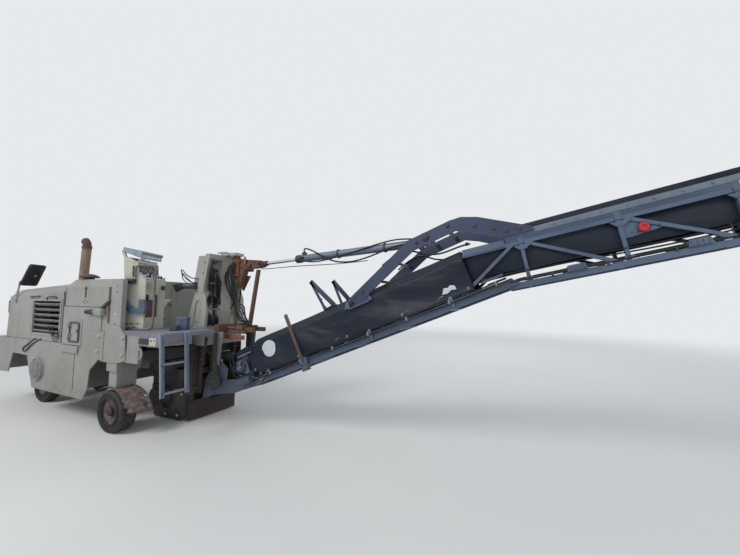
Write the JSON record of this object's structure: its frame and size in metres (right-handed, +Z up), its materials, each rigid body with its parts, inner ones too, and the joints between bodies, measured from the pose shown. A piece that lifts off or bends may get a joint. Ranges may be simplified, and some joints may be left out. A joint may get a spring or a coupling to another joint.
{
  "type": "cold planer milling machine",
  "caption": "Wheeled rear-loading cold planer with steered front axle, height-adjusting rear legs, milling drum, operator platform and a slewing, luffing discharge conveyor.",
  "frame": {"origin": "on the ground below the centre of the bounding box", "axes": "+X to the rear along the discharge conveyor, +Y to the machine's right, +Z up"},
  "size_m": [12.3505, 2.1, 3.5245],
  "materials": {
    "hull": "weathered grey-cream paint",
    "cream": "weathered cream-yellow paint",
    "steel_blue": "weathered blue-grey paint",
    "rust": "rusty steel",
    "dark_steel": "oily dark steel",
    "tyre": "worn rubber",
    "rubber": "dusty black rubber",
    "chrome": "polished rod",
    "deck": "worn tread plate",
    "black": "black plastic"
  },
  "bodies": {
    "chassis": {"chassis_frame": "hull", "engine_block": "dark_steel", "mid_housing": "hull", "intake_cap": "rust", "front_axle": "dark_steel", "leg_guide_left": "hull", "leg_guide_right": "hull", "leg_column": "hull", "drum_housing": "dark_steel", "drum_drive": "dark_steel", "rear_columns": "rust", "deck": "deck", "ladder": "deck", "handrail": "hull", "console": "cream", "toolbox": "steel_blue", "tower": "hull"},
    "hood": {"hood": "hull", "mirror": "black", "exhaust_stack": "rust"},
    "hatch": {"hatch_door": "hull"},
    "knuckle_l": {"knuckle_left": "dark_steel"},
    "knuckle_r": {"knuckle_right": "dark_steel"},
    "wheel_fl": {"wheel_front_left": "tyre"},
    "wheel_fr": {"wheel_front_right": "tyre"},
    "leg_l": {"leg_left": "hull", "fender_left": "rust"},
    "leg_r": {"leg_right": "hull", "fender_right": "rust"},
    "wheel_rl": {"wheel_rear_left": "tyre"},
    "wheel_rr": {"wheel_rear_right": "tyre"},
    "drum": {"milling_drum": "rust"},
    "guard_l": {"side_plate_left": "dark_steel"},
    "guard_r": {"side_plate_right": "dark_steel"},
    "mold": {"moldboard": "rust"},
    "lid": {"console_lid": "steel_blue"},
    "slew": {"slew_frame": "rust"},
    "conveyor": {"conveyor_frame": "steel_blue", "conveyor_truss": "steel_blue", "conveyor_belt": "rubber", "belt_pulleys": "dark_steel", "belt_cover": "rubber", "neck_arms": "steel_blue"},
    "barrel": {"luff_barrel": "steel_blue"},
    "rod": {"luff_rod": "chrome"}
  },
  "joints": [
    {"name": "steer_left", "type": "hinge", "parent": "chassis", "child": "knuckle_l", "pos_m": [-5.11066, -0.36, 0.33], "axis": [0, 0, 1], "range_deg": [-30, 30]},
    {"name": "steer_right", "type": "hinge", "parent": "chassis", "child": "knuckle_r", "pos_m": [-5.11066, 0.36, 0.33], "axis": [0, 0, 1], "range_deg": [-30, 30]},
    {"name": "wheel_front_left_spin", "type": "hinge", "parent": "knuckle_l", "child": "wheel_fl", "pos_m": [-5.11066, -0.5, 0.33], "axis": [0, 1, 0], "continuous": true},
    {"name": "wheel_front_right_spin", "type": "hinge", "parent": "knuckle_r", "child": "wheel_fr", "pos_m": [-5.11066, 0.5, 0.33], "axis": [0, 1, 0], "continuous": true},
    {"name": "leg_left_lift", "type": "slide", "parent": "chassis", "child": "leg_l", "axis": [0, 0, 1], "range_m": [-0.15, 0.15]},
    {"name": "leg_right_lift", "type": "slide", "parent": "chassis", "child": "leg_r", "axis": [0, 0, 1], "range_m": [-0.15, 0.15]},
    {"name": "wheel_rear_left_spin", "type": "hinge", "parent": "leg_l", "child": "wheel_rl", "pos_m": [-2.16066, -0.86, 0.33], "axis": [0, 1, 0], "continuous": true},
    {"name": "wheel_rear_right_spin", "type": "hinge", "parent": "leg_r", "child": "wheel_rr", "pos_m": [-2.94066, 0.78, 0.33], "axis": [0, 1, 0], "continuous": true},
    {"name": "drum_spin", "type": "hinge", "parent": "chassis", "child": "drum", "pos_m": [-2.04066, 0.445, 0.425], "axis": [0, 1, 0], "continuous": true},
    {"name": "side_plate_left_lift", "type": "slide", "parent": "chassis", "child": "guard_l", "axis": [0, 0, 1], "range_m": [0, 0.12]},
    {"name": "side_plate_right_lift", "type": "slide", "parent": "chassis", "child": "guard_r", "axis": [0, 0, 1], "range_m": [0, 0.12]},
    {"name": "moldboard_lift", "type": "slide", "parent": "chassis", "child": "mold", "axis": [0, 0, 1], "range_m": [0, 0.1]},
    {"name": "hood_tilt", "type": "hinge", "parent": "chassis", "child": "hood", "pos_m": [-5.76065, 0, 1.335], "axis": [0, -1, 0], "range_deg": [0, 50]},
    {"name": "hatch_swing", "type": "hinge", "parent": "chassis", "child": "hatch", "pos_m": [-3.37066, -1.033, 1.525], "axis": [0, 0, -1], "range_deg": [0, 100]},
    {"name": "console_lid_tilt", "type": "hinge", "parent": "chassis", "child": "lid", "pos_m": [-2.32917, -0.66085, 2.88], "axis": [0.4226, -0.9063, 0], "range_deg": [0, 80]},
    {"name": "conveyor_slew", "type": "hinge", "parent": "chassis", "child": "slew", "pos_m": [-1.08065, 0.445, 1.56], "axis": [0, 0, 1], "range_deg": [-25, 25]},
    {"name": "conveyor_luff", "type": "hinge", "parent": "slew", "child": "conveyor", "pos_m": [-1.08065, 0.445, 0.72], "axis": [0, -1, 0], "range_deg": [-8, 8]},
    {"name": "luff_barrel_tilt", "type": "hinge", "parent": "conveyor", "child": "barrel", "pos_m": [2.60887, 0.445, 2.98279], "axis": [0, -1, 0], "range_deg": [-3.4, 3.4]},
    {"name": "luff_rod_slide", "type": "slide", "parent": "barrel", "child": "rod", "axis": [-0.9973, 0, -0.074], "range_m": [-0.36, 0.4]}
  ],
  "couplings": [
    {"joint": "steer_right", "follows": "steer_left", "ratio": 1},
    {"joint": "luff_barrel_tilt", "follows": "conveyor_luff", "ratio": 0.248},
    {"joint": "luff_rod_slide", "follows": "conveyor_luff", "m_per_rad": -1.968}
  ]
}
